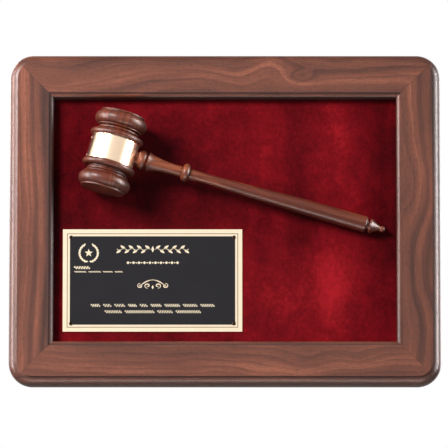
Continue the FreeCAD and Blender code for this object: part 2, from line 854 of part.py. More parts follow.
# ---------------------------------------------------------------------------------------------
# Assembly
# ---------------------------------------------------------------------------------------------
def build_frame(plates, recesses, hanger_holes, panel_holes, slots):
    form = frame_form()
    cutouts = group("frame_cutouts", recesses + hanger_holes + panel_holes + slots)
    sides = (
        ("top", "outer_width", "half_height", 0),
        ("right", "outer_height", "half_width", 90),
        ("bottom", "outer_width", "half_height", 180),
        ("left", "outer_height", "half_width", 270),
    )
    for side, length, across, turn in sides:
        shaped = doc.addObject("Part::Common", f"{side}_rail_shape")
        shaped.Base = rail_stock(side, length, across, turn)
        shaped.Tool = form
        part(f"frame_rail_{side}", cut(f"frame_rail_{side}", shaped, cutouts))
    drills = group("hanger_drills", hanger_holes)
    for side, plate in plates.items():
        part(f"keyhole_hanger_{side}", cut(f"keyhole_hanger_{side}", plate, drills))


def build_gavel():
    socket = tenon_socket()
    head = cut("head_with_socket", head_body(), socket)
    band = cut("band_with_hole", band_body(), socket)
    handle = put(
        turned_body("handle_turning", "gavel_handle", start="handle_start"), gavel_spot(), handle_turn()
    )
    pin = turned_body("band_pin_model", "gavel_band_pins")
    inward = lean().multiply(Rotation(AXIS_Y, 90))
    pins, pin_holes = fastened("gavel_band_pins", pin, band_pin_spots(), inward)
    head_places = []
    for sign in ("", "-"):
        x, _, z = gavel_spot("0", f"{sign}head_screw_place")
        head_places.append((x, "board_back", z))
    x, _, z = gavel_spot("handle_screw_place * cos(gavel_dip)")
    head_screws, head_holes = fastened("head_screw", screw_body("head_screw"), head_places, INTO_BACK)
    handle_screws, handle_holes = fastened(
        "handle_screw", screw_body("handle_screw"), [(x, "board_back", z)], INTO_BACK
    )
    part("gavel_head", cut("gavel_head", head, group("head_drills", head_holes + pin_holes)))
    part("gavel_band", cut("gavel_band", band, group("band_drills", pin_holes)))
    part("gavel_band_pins", group("band_pins", pins))
    part("gavel_handle", cut("gavel_handle", handle, group("handle_drills", handle_holes)))
    part("gavel_head_screws", group("head_screws", head_screws))
    part("gavel_handle_screw", group("handle_screws", handle_screws))
    return head_holes + handle_holes


def build_name_plate():
    pin = turned_body("plate_pin_model", "plate_pins")
    pins, holes = fastened("plate_pins", pin, plate_pin_spots(), INTO_FRONT)
    drills = group("plate_drills", holes)
    part("name_plate", cut("name_plate", brass_plate(), drills))
    part("engraved_field", cut("engraved_field", black_field(), drills))
    part("plate_pins", group("plate_pin_set", pins))
    return holes


def build():
    fill_sheet()
    plates, recesses, hanger_spots = hangers()
    hanger_screws, hanger_holes = fastened(
        "hanger_screw", screw_body("hanger_screw"), hanger_spots, INTO_BACK
    )
    panel_screws, panel_holes = fastened(
        "panel_screw", screw_body("panel_screw"), panel_screw_places(), INTO_BACK
    )
    nails, slots = corner_nails()
    build_frame(plates, recesses, hanger_holes, panel_holes, slots)
    part("hanger_screws", group("hanger_screw_set", hanger_screws))
    part("back_panel_screws", group("panel_screw_set", panel_screws))
    part("corner_v_nails", group("v_nail_set", nails))

    gavel_holes = build_gavel()
    pin_holes = build_name_plate()
    staples, staple_spaces = hem_staples()
    part("velour_staples", group("staple_set", staples))
    board = slab("board_slab", "board_half_width", "board_half_height", "board_front", "board_back")
    panel = slab("panel_slab", "panel_half_width", "panel_half_height", "panel_front", "0")
    through_board = group("board_cutouts", gavel_holes + pin_holes + staple_spaces)
    part("mounting_board", cut("mounting_board", board, through_board))
    part("velour_cover", cut("velour_cover", velour_wrap(), through_board))
    part("back_panel", cut("back_panel", panel, group("panel_drills", panel_holes)))
    doc.recompute()


def check():
    """Stops if any object failed to compute or any sub-part has no sound shape."""
    for item in doc.Objects:
        if "Invalid" in item.State or "Error" in item.State:
            raise RuntimeError(f"{item.Name} is {item.State}")
    for node, thing in parts.items():
        shape = thing.Shape
        if shape.isNull() or not shape.isValid() or not shape.Solids:
            raise RuntimeError(f"{node} has no valid solid")


def export():
    os.makedirs("parts", exist_ok=True)
    for node, thing in parts.items():
        thing.Shape.exportStep(f"parts/{node}.step")
        print(f"{node:22} solids {len(thing.Shape.Solids):3}  volume {thing.Shape.Volume:11.1f}")


build()
check()
export()
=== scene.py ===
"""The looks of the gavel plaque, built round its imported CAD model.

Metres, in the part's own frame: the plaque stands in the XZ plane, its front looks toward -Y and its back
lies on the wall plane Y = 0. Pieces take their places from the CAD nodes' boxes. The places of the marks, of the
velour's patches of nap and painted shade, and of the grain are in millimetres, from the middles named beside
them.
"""

import math
import random

import bmesh
import bpy
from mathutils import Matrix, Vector, noise


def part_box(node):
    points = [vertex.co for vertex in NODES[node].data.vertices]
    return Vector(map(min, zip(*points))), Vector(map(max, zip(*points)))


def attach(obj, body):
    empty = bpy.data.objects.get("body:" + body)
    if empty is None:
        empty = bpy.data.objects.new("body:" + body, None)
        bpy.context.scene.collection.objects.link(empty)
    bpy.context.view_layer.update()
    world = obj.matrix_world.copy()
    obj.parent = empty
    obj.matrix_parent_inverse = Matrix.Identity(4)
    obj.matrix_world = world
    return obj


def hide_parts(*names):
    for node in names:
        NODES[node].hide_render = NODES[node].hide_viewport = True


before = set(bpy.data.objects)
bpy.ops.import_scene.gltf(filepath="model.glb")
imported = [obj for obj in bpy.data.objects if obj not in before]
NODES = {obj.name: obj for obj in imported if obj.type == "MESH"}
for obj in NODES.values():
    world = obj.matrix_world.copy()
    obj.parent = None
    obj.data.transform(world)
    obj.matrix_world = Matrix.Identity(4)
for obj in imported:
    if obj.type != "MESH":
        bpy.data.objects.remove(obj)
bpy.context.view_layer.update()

MM = 0.001
BODY = "root"
QUARTER = math.pi / 2


# ---------------------------------------------------------------------------------------------
# Node graphs
# ---------------------------------------------------------------------------------------------
class Tree:
    """A node tree, written as calls whose arguments are sockets or plain values."""

    def __init__(self, tree):
        self.tree = tree

    def feed(self, socket, value):
        if isinstance(value, bpy.types.NodeSocket):
            self.tree.links.new(value, socket)
        else:
            socket.default_value = value

    def node(self, kind, settings=None, **inputs):
        made = self.tree.nodes.new(kind)
        for key, value in (settings or {}).items():
            setattr(made, key, value)
        for key, value in inputs.items():
            self.feed(made.inputs[key.replace("_", " ")], value)
        return made

    def math(self, operation, *values):
        made = self.node("ShaderNodeMath", {"operation": operation})
        for socket, value in zip(made.inputs, values):
            self.feed(socket, value)
        return made.outputs[0]

    def add(self, start, *shares):
        """start plus the product of every (value, weight) pair."""
        total = start
        for value, weight in shares:
            total = self.math("ADD", total, self.math("MULTIPLY", value, weight))
        return total

    def centred(self, value):
        """A noise's swing about its middle."""
        return self.math("SUBTRACT", value, 0.5)

    def hump(self, *ways):
        """A bell: 1 in the middle of every (value, middle, half width), and fading out round it."""
        square = 0.0
        for value, middle, half_width in ways:
            share = self.math("DIVIDE", self.math("SUBTRACT", value, middle), half_width)
            square = self.math("ADD", square, self.math("MULTIPLY", share, share))
        return self.math("EXPONENT", self.math("MULTIPLY", square, -1.0))

    def choose(self, share, first, second):
        """The first number where share is 0, the second where it is 1."""
        made = self.node("ShaderNodeMix", {"data_type": "FLOAT"})
        for index, value in ((0, share), (2, first), (3, second)):
            self.feed(made.inputs[index], value)
        return made.outputs[0]

    def mix(self, share, first, second, blend="MIX"):
        made = self.node("ShaderNodeMix", {"data_type": "RGBA", "blend_type": blend})
        for index, value in ((0, share), (6, first), (7, second)):
            self.feed(made.inputs[index], value)
        return made.outputs[2]

    def ramp(self, share, *stops):
        """Maps a value through grey levels or colours, each stop a (place, value) pair."""
        made = self.node("ShaderNodeValToRGB")
        self.feed(made.inputs[0], share)
        band = made.color_ramp.elements
        while len(band) < len(stops):
            band.new(0.5)
        for element, (place, value) in zip(band, stops):
            element.position = place
            element.color = value if hasattr(value, "__len__") else (value, value, value, 1)
        return made.outputs[0]

    def parts(self, vector):
        return self.node("ShaderNodeSeparateXYZ", Vector=vector).outputs[:3]

    def joined(self, x, y, z):
        return self.node("ShaderNodeCombineXYZ", X=x, Y=y, Z=z).outputs[0]

    def scaled(self, vector, stretch):
        made = self.node("ShaderNodeVectorMath", {"operation": "MULTIPLY"})
        self.feed(made.inputs[0], vector)
        made.inputs[1].default_value = stretch
        return made.outputs[0]


class Graph(Tree):
    """A material's tree, round its shader."""

    def __init__(self, name):
        self.material = bpy.data.materials.new(name)
        self.material.use_nodes = True
        super().__init__(self.material.node_tree)
        self.shader = self.tree.nodes["Principled BSDF"]

    def place(self, turn=(0, 0, 0), shift=(0, 0, 0)):
        """The part frame's coordinates in millimetres, turned into a piece's own directions, then shifted."""
        at = self.node("ShaderNodeTexCoord").outputs["Object"]
        to_mm = self.node("ShaderNodeMapping", {"vector_type": "POINT"}, Vector=at, Scale=(1 / MM,) * 3)
        turned = self.node("ShaderNodeMapping", {"vector_type": "POINT"}, Vector=to_mm.outputs[0])
        turned.inputs["Rotation"].default_value = turn
        turned.inputs["Location"].default_value = shift
        return turned.outputs[0]

    def noise(self, vector, scale=1.0, detail=2.0, roughness=0.5, distortion=0.0):
        shape = {"Scale": scale, "Detail": detail, "Roughness": roughness, "Distortion": distortion}
        return self.node("ShaderNodeTexNoise", Vector=vector, **shape).outputs[0]

    def bump(self, height, strength, distance):
        return self.node("ShaderNodeBump", Height=height, Strength=strength, Distance=distance).outputs[0]

    def finish(self, **inputs):
        for key, value in inputs.items():
            self.feed(self.shader.inputs[key.replace("_", " ")], value)
        return self.material


def rgb(red, green, blue):
    """A colour given as it looks on a screen, from 0 to 255, as the linear value that a shader takes."""

    def linear(level):
        level /= 255
        return level / 12.92 if level <= 0.04045 else ((level + 0.055) / 1.055) ** 2.4

    return (linear(red), linear(green), linear(blue), 1.0)


# ---------------------------------------------------------------------------------------------
# Materials
# ---------------------------------------------------------------------------------------------
# The tone of the painted shade along the moulding's corners and steps.
SHADE_LINE_TONE = rgb(46, 12, 7)
FRAME_TONES = (rgb(68, 36, 27), rgb(120, 68, 51), rgb(158, 93, 70))
GAVEL_TONES = (rgb(44, 14, 7), rgb(108, 46, 27), rgb(158, 84, 52))
RING_WEIGHT = 0.31
SHADE_LINE_DULLNESS = 0.3
PORE_DARKNESS = 0.5


def walnut(
    name,
    tones,
    turn,
    middle,
    spacing,
    waver=40.0,
    figure=(),
    streaks=(),
    shade_lines=(),
    gloss=0.36,
    coat=0.12,
):
    """Flat-sawn walnut: contour lines of growth, broad changes of tone, fine fibres and open pores.

    The tones are dark, middle and light. The turn about Y brings the grain onto X, and the middle is what is
    added across the grain to count from the piece's middle. Growth lines lie a spacing apart and stray by about
    the waver. A figure is (along, across, half length, half width, height) in millimetres: lines bend round it,
    and close into a knot where it is small. A streak is (across, half width, strength) and follows the lines.
    The last list is the same, but runs straight: its lines are painted shade along corners of the moulding, where
    its steps would shade the wood, and the finish there is also dull.
    """
    graph = Graph(name)
    at = graph.place((0, turn, 0), shift=(0, 0, middle))
    along, depth, across = graph.parts(at)
    wander = graph.noise(graph.scaled(at, (0.0065, 0.02, 0.014)), 1.0, 3.0, 0.5)
    field = graph.add(across, (graph.centred(wander), waver))
    for here, there, half_length, half_width, height in figure:
        bulge = graph.hump((along, here, half_length), (across, there, half_width))
        field = graph.add(field, (bulge, height))
    ring = graph.math("FRACT", graph.math("DIVIDE", field, spacing))
    ring = graph.ramp(ring, (0.0, 0.12), (0.5, 0.3), (0.86, 0.85), (0.93, 1.0), (1.0, 0.12))
    faint = graph.noise(graph.scaled(at, (0.008, 0.03, 0.05)), 1.0, 2.0)
    ring = graph.math("MULTIPLY", ring, graph.ramp(faint, (0.36, 0.35), (0.62, 1.0)))

    grown = graph.joined(along, depth, field)
    broad = graph.noise(graph.scaled(grown, (0.004, 0.03, 0.05)), 1.0, 3.0, 0.55)
    fibres = graph.noise(graph.scaled(at, (0.05, 1.3, 1.3)), 1.0, 3.0, 0.7)
    fine = graph.noise(graph.scaled(at, (0.3, 2.2, 2.2)), 1.0, 2.0, 0.6)
    pores = graph.noise(graph.scaled(at, (0.16, 2.0, 2.0)), 1.0, 1.0, 0.4)

    share = graph.add(graph.ramp(broad, (0.32, 0.62), (0.68, 0.0)), (ring, RING_WEIGHT))
    for there, half_width, strength in streaks:
        share = graph.add(share, (graph.hump((field, there, half_width)), strength))
    dark, mid, light = tones
    colour = graph.ramp(share, (0.08, light), (0.4, mid), (0.95, dark))
    dull = gloss
    # Painted shade: darker lines along the moulding's corners and steps, where they would shade the wood, with a
    # duller finish there.
    for there, half_width, strength in shade_lines:
        painted_shade = graph.math("MULTIPLY", graph.hump((across, there, half_width)), strength)
        colour = graph.mix(painted_shade, colour, SHADE_LINE_TONE)
        dull = graph.add(dull, (painted_shade, SHADE_LINE_DULLNESS))
    tint = graph.ramp(fibres, (0.25, 0.74), (0.5, 1.0), (0.75, 1.22))
    colour = graph.mix(1.0, colour, tint, "MULTIPLY")
    colour = graph.mix(1.0, colour, graph.ramp(fine, (0.3, 0.84), (0.7, 1.12)), "MULTIPLY")
    pore = graph.ramp(pores, (0.32, 1.0), (0.4, 0.0))
    pore_tone = tuple(0.4 * channel for channel in dark[:3]) + (1,)
    colour = graph.mix(graph.math("MULTIPLY", pore, PORE_DARKNESS), colour, pore_tone)

    relief = graph.math("SUBTRACT", graph.math("MULTIPLY", fibres, 0.3), pore)
    return graph.finish(
        Base_Color=colour,
        Roughness=graph.add(dull, (pore, 0.2), (graph.centred(fibres), 0.12)),
        Normal=graph.bump(relief, 0.25, 0.1 * MM),
        Coat_Weight=coat,
        Coat_Roughness=gloss * 0.6,
        Specular_IOR_Level=0.36,
    )


# Patches of the cloth's tone: X and Z from the plaque's middle, half width and half height, all in millimetres,
# and strength.
# The dark ones along the sides, at the upper left and beside and below the gavel are painted shadow, the light
# strip along the top is painted light where the top rail would shade the cloth, and the rest are partly nap
# brushed light or dark and partly painted light and shade.
NAP_LIGHT_AND_SHADE = (
    (-140, 50, 26, 90, -0.42),
    (-170, 0, 11, 140, -0.3),
    (-12, 95, 7, 60, 0.12),
    (36, 80, 14, 75, 0.14),
    (72, 30, 12, 90, -0.2),
    (108, 70, 20, 80, 0.16),
    (160, 30, 13, 130, -0.34),
    (174, 0, 5, 140, -0.5),
    (104, -75, 24, 48, 0.62),
    (58, -80, 22, 40, 0.24),
    (20, -60, 12, 60, 0.16),
    (150, -80, 14, 50, 0.16),
    (-56, 58, 38, 40, -0.42),
    (-20, 120, 70, 10, 0.14),
    (20, 10, 60, 26, -0.26),
    (-66, 8, 30, 22, -0.24),
    (120, -12, 30, 12, -0.26),
)
NAP_LIGHT_AND_SHADE_WEIGHT = 0.3


def velour():
    """Red nap: brushed patches, soft upright strokes, a suede-like mottle of tufts lying level, and patches of
    painted shadow and light.
    """
    graph = Graph("red_velour")
    at = graph.place()
    x, _, z = graph.parts(at)
    strokes = graph.noise(graph.scaled(at, (0.028, 0.02, 0.006)), 1.0, 2.0, 0.5, 0.2)
    patches = graph.noise(graph.scaled(at, (0.05, 0.03, 0.04)), 1.0, 4.0, 0.62, 0.5)
    mottle = graph.noise(graph.scaled(at, (0.3, 0.3, 0.26)), 1.0, 4.0, 0.68, 0.3)
    fibre = graph.noise(graph.scaled(at, (1.2, 2.4, 2.2)), 1.0, 2.0, 0.6)
    lean = graph.add(0.16, (patches, 0.26), (strokes, 0.2), (mottle, 0.22))
    # Patches of brushed nap and of painted shadow and light, by place on the cloth.
    for here, there, half_width, half_height, strength in NAP_LIGHT_AND_SHADE:
        patch = graph.hump((x, here, half_width), (z, there, half_height))
        lean = graph.add(lean, (patch, NAP_LIGHT_AND_SHADE_WEIGHT * strength))
    colour = graph.ramp(
        lean,
        (0.34, rgb(62, 2, 8)),
        (0.46, rgb(94, 4, 13)),
        (0.56, rgb(122, 9, 20)),
        (0.70, rgb(172, 24, 34)),
    )
    grain = graph.ramp(fibre, (0.3, 0.74), (0.7, 1.2))
    colour = graph.mix(1.0, colour, grain, "MULTIPLY")
    return graph.finish(
        Base_Color=colour,
        Roughness=graph.ramp(lean, (0.35, 0.98), (0.65, 0.85)),
        Normal=graph.bump(graph.add(mottle, (fibre, 0.3)), 0.3, 0.5 * MM),
        Sheen_Weight=0.12,
        Sheen_Roughness=0.5,
        Sheen_Tint=rgb(230, 60, 70),
        Specular_IOR_Level=0.06,
    )


def metal(name, colour, worn, roughness, brushed=(0, 0, 0), scratch=0.08):
    """Metal with a fine brushed grain along the turned X, cloudy handling marks and a worn tint."""
    graph = Graph(name)
    at = graph.place(brushed)
    lines = graph.noise(graph.scaled(at, (0.05, 6.0, 6.0)), 1.0, 2.0, 0.6)
    clouds = graph.noise(graph.scaled(at, (0.05, 0.05, 0.05)), 1.0, 3.0, 0.6)
    shade = graph.mix(graph.ramp(clouds, (0.35, 0.0), (0.7, 1.0)), colour, worn)
    return graph.finish(
        Base_Color=shade,
        Roughness=graph.add(roughness, (graph.centred(lines), scratch), (graph.centred(clouds), scratch)),
        Normal=graph.bump(lines, 0.02, 0.05 * MM),
        Metallic=1.0,
    )


def lacquer():
    """Satin black with a faint dust of fine specks and cloudy gloss."""
    graph = Graph("black_lacquer")
    at = graph.place()
    specks = graph.noise(at, 4.0, 2.0, 0.7)
    clouds = graph.noise(at, 0.04, 3.0)
    colour = graph.mix(graph.ramp(specks, (0.6, 0.0), (0.75, 1.0)), rgb(30, 28, 32), rgb(46, 44, 48))
    return graph.finish(
        Base_Color=colour,
        Roughness=graph.add(0.34, (graph.centred(clouds), 0.16)),
        Normal=graph.bump(specks, 0.04, 0.05 * MM),
        Specular_IOR_Level=0.2,
    )


def fibre_panel(name, dark, light, roughness):
    """Pressed board: short fibres lying every way and a slow change of tone."""
    graph = Graph(name)
    at = graph.place()
    lengthwise = graph.noise(graph.scaled(at, (0.35, 1.0, 3.0)), 1.0, 3.0, 0.7)
    crosswise = graph.noise(graph.scaled(at, (3.0, 1.0, 0.35)), 1.0, 3.0, 0.7)
    tone = graph.noise(at, 0.02, 3.0)
    flakes = graph.math("MAXIMUM", lengthwise, crosswise)
    return graph.finish(
        Base_Color=graph.ramp(graph.add(0.0, (flakes, 0.7), (tone, 0.3)), (0.42, dark), (0.68, light)),
        Roughness=graph.add(roughness, (flakes, 0.15)),
        Normal=graph.bump(flakes, 0.25, 0.1 * MM),
    )


GAVEL_LEAN = math.radians(15.5)

# How each rail's grain is cut, in walnut's own terms, with the lines of painted shade along its moulding's steps
# and corners.
# Across the grain counts toward the inside on the bottom and right rails, and toward the outside on the top and
# left ones.
RAILS = {
    "frame_rail_top": {
        "turn": 0,
        "middle": -146,
        "spacing": 10.0,
        "waver": 34,
        "figure": (
            (76, -1, 13, 6, 22),
            (44, 8, 20, 24, -16),
            (-40, -6, 60, 20, -12),
            (120, 0, 70, 26, 10),
            (-170, 0, 60, 40, 14),
        ),
        "streaks": ((14, 9, 0.2), (-30, 6, 0.2)),
        "shade_lines": ((-17.4, 0.75, 0.9), (-21.9, 1.1, 0.85)),
    },
    "frame_rail_right": {
        "turn": QUARTER,
        "middle": 194,
        "spacing": 11.0,
        "waver": 34,
        "figure": ((40, 4, 40, 16, 12), (-50, -6, 46, 18, -14), (-110, 2, 40, 20, 9)),
        "streaks": ((2, 4.5, 0.5), (-16, 4, 0.25)),
        "shade_lines": ((17.2, 0.6, 0.25), (21.9, 1.0, 0.6)),
    },
    "frame_rail_bottom": {
        "turn": 0,
        "middle": 146,
        "spacing": 6.5,
        "waver": 22,
        "figure": ((80, -4, 30, 18, 15), (134, 2, 22, 14, 9), (36, -10, 18, 10, 6), (-120, 0, 80, 30, 6)),
        "streaks": ((10, 5, 0.15),),
        "shade_lines": ((18.5, 0.8, 0.9), (-14.6, 0.8, 0.75)),
    },
    "frame_rail_left": {
        "turn": QUARTER,
        "middle": -194,
        "spacing": 7.5,
        "waver": 12,
        "figure": ((-20, 0, 90, 26, 4),),
        "streaks": ((1, 2.4, 0.4), (-12.5, 3.0, 0.42), (-19, 3, 0.24)),
        "shade_lines": ((-17.4, 0.75, 0.9), (-21.9, 1.1, 0.85), (-20.0, 1.6, 0.6)),
    },
}
BRASS_NODES = ("gavel_band", "gavel_band_pins")
STEEL_NODES = (
    "keyhole_hanger_left",
    "keyhole_hanger_right",
    "hanger_screws",
    "back_panel_screws",
    "gavel_head_screws",
    "gavel_handle_screw",
    "corner_v_nails",
    "velour_staples",
)


def dress(node, material):
    NODES[node].data.materials.clear()
    NODES[node].data.materials.append(material)
    for polygon in NODES[node].data.polygons:
        polygon.material_index = 0


def dress_all():
    """Gives every carried-over CAD node its finish, and returns the gold that the marks share."""
    for node, cut in RAILS.items():
        dress(node, walnut(node.replace("frame_rail", "walnut"), FRAME_TONES, **cut))
    head_grain = QUARTER - GAVEL_LEAN
    head = walnut("walnut_head", GAVEL_TONES, head_grain, 31, 5.0, gloss=0.4, coat=0.14)
    handle = walnut("walnut_handle", GAVEL_TONES, -GAVEL_LEAN, 5, 6.0, gloss=0.36, coat=0.2)
    dress("gavel_head", head)
    dress("gavel_handle", handle)
    brass = metal("polished_brass", rgb(254, 226, 196), rgb(250, 219, 188), 0.24, (0, head_grain, 0), 0.04)
    gold = metal("gold_plate", rgb(255, 238, 208), rgb(252, 230, 198), 0.3, (0, 0, 0), 0.06)
    steel = metal("zinc_steel", rgb(196, 198, 198), rgb(168, 170, 168), 0.32, (0, QUARTER, 0), 0.14)
    bronze = metal("pin_bronze", rgb(58, 42, 34), rgb(34, 26, 24), 0.3)
    for node in BRASS_NODES:
        dress(node, brass)
    dress("name_plate", gold)
    dress("engraved_field", lacquer())
    dress("plate_pins", bronze)
    dress("mounting_board", fibre_panel("fibreboard", rgb(136, 104, 74), rgb(182, 148, 110), 0.7))
    dress("back_panel", fibre_panel("brown_hardboard", rgb(70, 46, 30), rgb(116, 82, 56), 0.5))
    for node in STEEL_NODES:
        dress(node, steel)
    return gold


# ---------------------------------------------------------------------------------------------
# Meshes
# ---------------------------------------------------------------------------------------------
def mesh_object(name, work, material, smooth=True):
    """Turns a bmesh into an object with one finish."""
    bmesh.ops.recalc_face_normals(work, faces=work.faces)
    mesh = bpy.data.meshes.new(name)
    work.to_mesh(mesh)
    work.free()
    mesh.materials.append(material)
    for polygon in mesh.polygons:
        polygon.use_smooth = smooth
    made = bpy.data.objects.new(name, mesh)
    bpy.context.scene.collection.objects.link(made)
    return made


def apply_modifier(made, kind, **settings):
    modifier = made.modifiers.new(kind.lower(), kind)
    for key, value in settings.items():
        setattr(modifier, key, value)
    bpy.context.view_layer.update()
    evaluated = made.evaluated_get(bpy.context.evaluated_depsgraph_get())
    finished = bpy.data.meshes.new_from_object(evaluated)
    made.modifiers.clear()
    made.data = finished


# ---------------------------------------------------------------------------------------------
# Velour
# ---------------------------------------------------------------------------------------------
HEM = 22 * MM
CLOTH = 0.9 * MM
ROLL = 1.6 * MM  # how tightly the cloth goes round the board's edges
LAY = 0.16 * MM  # how far the nap's middle lies behind the CAD cover's face
SWELL = 0.14 * MM
FLAT_MARGIN = 12 * MM  # the width along the edges over which the swell dies away
RUFFLE = 0.1 * MM
RUFFLED_FROM = 9  # the step of the wrap from which the cloth ruffles, partway round the back edge
COLUMNS, ROWS = 150, 110


def wrap_path(low, high):
    """The cloth's way from the front, round the board's edge and onto its back, as (inset, y) pairs."""
    front, back = low.y, high.y
    path = []
    for step in range(1, 6):
        angle = QUARTER * step / 5
        path.append((ROLL * (1 - math.sin(angle)), front + ROLL * (1 - math.cos(angle))))
    path.append((0, (front + back) / 2))
    for step in range(6):
        angle = QUARTER * step / 5
        path.append((ROLL * (1 - math.cos(angle)), back - ROLL * (1 - math.sin(angle))))
    for step in range(1, 7):
        path.append((ROLL + (HEM - ROLL) * step / 6, back))
    return path


def cloth_front(work, front, half_x, half_z):
    """The gently uneven front, and the points of its rim in order."""
    grid = []
    for row in range(ROWS + 1):
        z = half_z * (2 * row / ROWS - 1)
        line = []
        for column in range(COLUMNS + 1):
            x = half_x * (2 * column / COLUMNS - 1)
            inside = min(half_x - abs(x), half_z - abs(z)) / FLAT_MARGIN
            swell = SWELL * noise.noise(Vector((x * 26, z * 26, 0.3))) * min(1, inside)
            line.append(work.verts.new((x, front + LAY + swell, z)))
        grid.append(line)
    for low_line, high_line in zip(grid, grid[1:]):
        for column in range(COLUMNS):
            corners = low_line[column : column + 2] + high_line[column : column + 2][::-1]
            work.faces.new(corners)
    right = [line[-1] for line in grid[:-1]]
    left = [line[0] for line in grid[:0:-1]]
    return grid[0][:-1] + right + grid[-1][:0:-1] + left


def velour_sheet():
    """One cloth over the board: an uneven front, rolled edges, and a mitred hem behind."""
    low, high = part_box("velour_cover")
    half_x, half_z = high.x - ROLL, high.z - ROLL
    work = bmesh.new()
    rim = cloth_front(work, low.y, half_x, half_z)
    places = [(vert.co.x / half_x, vert.co.z / half_z) for vert in rim]
    previous = rim
    for index, (inset, y) in enumerate(wrap_path(low, high)):
        ring = []
        for share_x, share_z in places:
            x = share_x * (high.x - inset)
            z = share_z * (high.z - inset)
            ruffle = abs(RUFFLE * noise.noise(Vector((x * 60, z * 60, index * 0.4))))
            ring.append(work.verts.new((x, y - ruffle if index >= RUFFLED_FROM else y, z)))
        for spot in range(len(rim)):
            following = (spot + 1) % len(rim)
            work.faces.new((previous[spot], previous[following], ring[following], ring[spot]))
        previous = ring
    sheet = mesh_object("velour_sheet", work, velour())
    apply_modifier(sheet, "SOLIDIFY", thickness=CLOTH, offset=-1.0)
    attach(sheet, BODY)
    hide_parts("velour_cover")


# ---------------------------------------------------------------------------------------------
# Marks on the name plate
# ---------------------------------------------------------------------------------------------
MARK_HEIGHT = 0.06 * MM


class Marks:
    """Low raised marks on the black field, in millimetres from the field's middle, X right and Z up."""

    def __init__(self):
        low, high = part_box("engraved_field")
        self.middle = (low + high) / 2
        self.front = low.y
        self.work = bmesh.new()

    def corner(self, x, z, lift):
        return self.work.verts.new((self.middle.x + x * MM, self.front - lift, self.middle.z + z * MM))

    def prism(self, points):
        """A closed flat shape with a little height, from its outline."""
        lower = [self.corner(x, z, -MARK_HEIGHT) for x, z in points]
        upper = [self.corner(x, z, MARK_HEIGHT) for x, z in points]
        self.work.faces.new(lower)
        self.work.faces.new(upper)
        for index in range(len(points)):
            following = (index + 1) % len(points)
            self.work.faces.new((lower[index], lower[following], upper[following], upper[index]))

    def lozenge(self, x, z, half_width, half_height):
        self.prism([(x - half_width, z), (x, z - half_height), (x + half_width, z), (x, z + half_height)])

    def ribbon(self, spine, widths):
        """A stroke along a curve, its width given at every point."""
        left, right = [], []
        for index, (x, z) in enumerate(spine):
            before = spine[max(index - 1, 0)]
            after = spine[min(index + 1, len(spine) - 1)]
            way = Vector((after[0] - before[0], after[1] - before[1])).normalized()
            half = widths[index] / 2
            left.append((x - way.y * half, z + way.x * half))
            right.append((x + way.y * half, z - way.x * half))
        rails = []
        for side in (left, right):
            pairs = [(self.corner(x, z, -MARK_HEIGHT), self.corner(x, z, MARK_HEIGHT)) for x, z in side]
            rails.append(pairs)
        for index in range(len(spine) - 1):
            (a0, a1), (b0, b1) = rails[0][index], rails[0][index + 1]
            (c0, c1), (d0, d1) = rails[1][index], rails[1][index + 1]
            for face in ((a1, b1, d1, c1), (a0, c0, d0, b0), (a0, b0, b1, a1), (c0, c1, d1, d0)):
                self.work.faces.new(face)
        for index in (0, -1):
            (a0, a1), (c0, c1) = rails[0][index], rails[1][index]
            self.work.faces.new((a0, a1, c1, c0))

    def leaf(self, x, z, angle, length, width):
        """A leaf that is fuller toward its stalk, pointing along the angle."""
        points = []
        for step in range(10):
            turn = 2 * math.pi * step / 10
            along = length / 2 * math.cos(turn)
            aside = width / 2 * math.sin(turn) * (1 - 0.35 * math.cos(turn))
            right = along * math.cos(angle) - aside * math.sin(angle)
            up = along * math.sin(angle) + aside * math.cos(angle)
            points.append((x + right, z + up))
        self.prism(points)

    def done(self, name, material):
        made = mesh_object(name, self.work, material, smooth=False)
        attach(made, BODY)


def tapering(count, widest, tip):
    """Stroke widths that grow from a share of the widest at both ends."""
    return [widest * max(tip, math.sin(math.pi * index / (count - 1))) for index in range(count)]


def spiral(start, turns, outer, inner, hand, count=26):
    """Points of a curl that winds inward about the origin."""
    points = []
    for index in range(count):
        share = index / (count - 1)
        radius = outer + (inner - outer) * share
        angle = start + hand * turns * 2 * math.pi * share
        points.append((radius * math.cos(angle), radius * math.sin(angle)))
    return points


def emblem(material):
    """A wreath of leaves round a five-pointed star."""
    marks = Marks()
    x, z = -63.9, 27.8
    radius, opening, leaf_step = 9.2, 0.32, 0.29
    for side in (-1, 1):
        for index in range(9):
            angle = -QUARTER + side * (opening + index * leaf_step)
            lean = angle + side * (QUARTER - 0.45)
            marks.leaf(x + radius * math.cos(angle), z + radius * math.sin(angle), lean, 4.2, 1.7)
    star = []
    for index in range(10):
        reach = 4.3 if index % 2 == 0 else 1.8
        angle = QUARTER + index * math.pi / 5
        star.append((x + reach * math.cos(angle), z + reach * math.sin(angle)))
    marks.prism(star)
    marks.done("engraved_emblem", material)


# Rows of pen waves: left end, right end, height on the field, height of the wave, its pitch, stroke width,
# number of word-long runs, and the seed of their lengths.
PEN_ROWS = (
    (-61.4, 61.8, -25.5, 2.8, 2.3, 0.72, 9, 4),
    (-47.5, 48.2, -31.9, 2.8, 2.3, 0.72, 4, 8),
    (-78.2, -62.8, 12.9, 2.6, 2.5, 1.0, 1, 2),
    (-78.2, -29.9, 8.7, 1.1, 1.5, 0.6, 4, 6),
)
WAVE_STEPS = 8


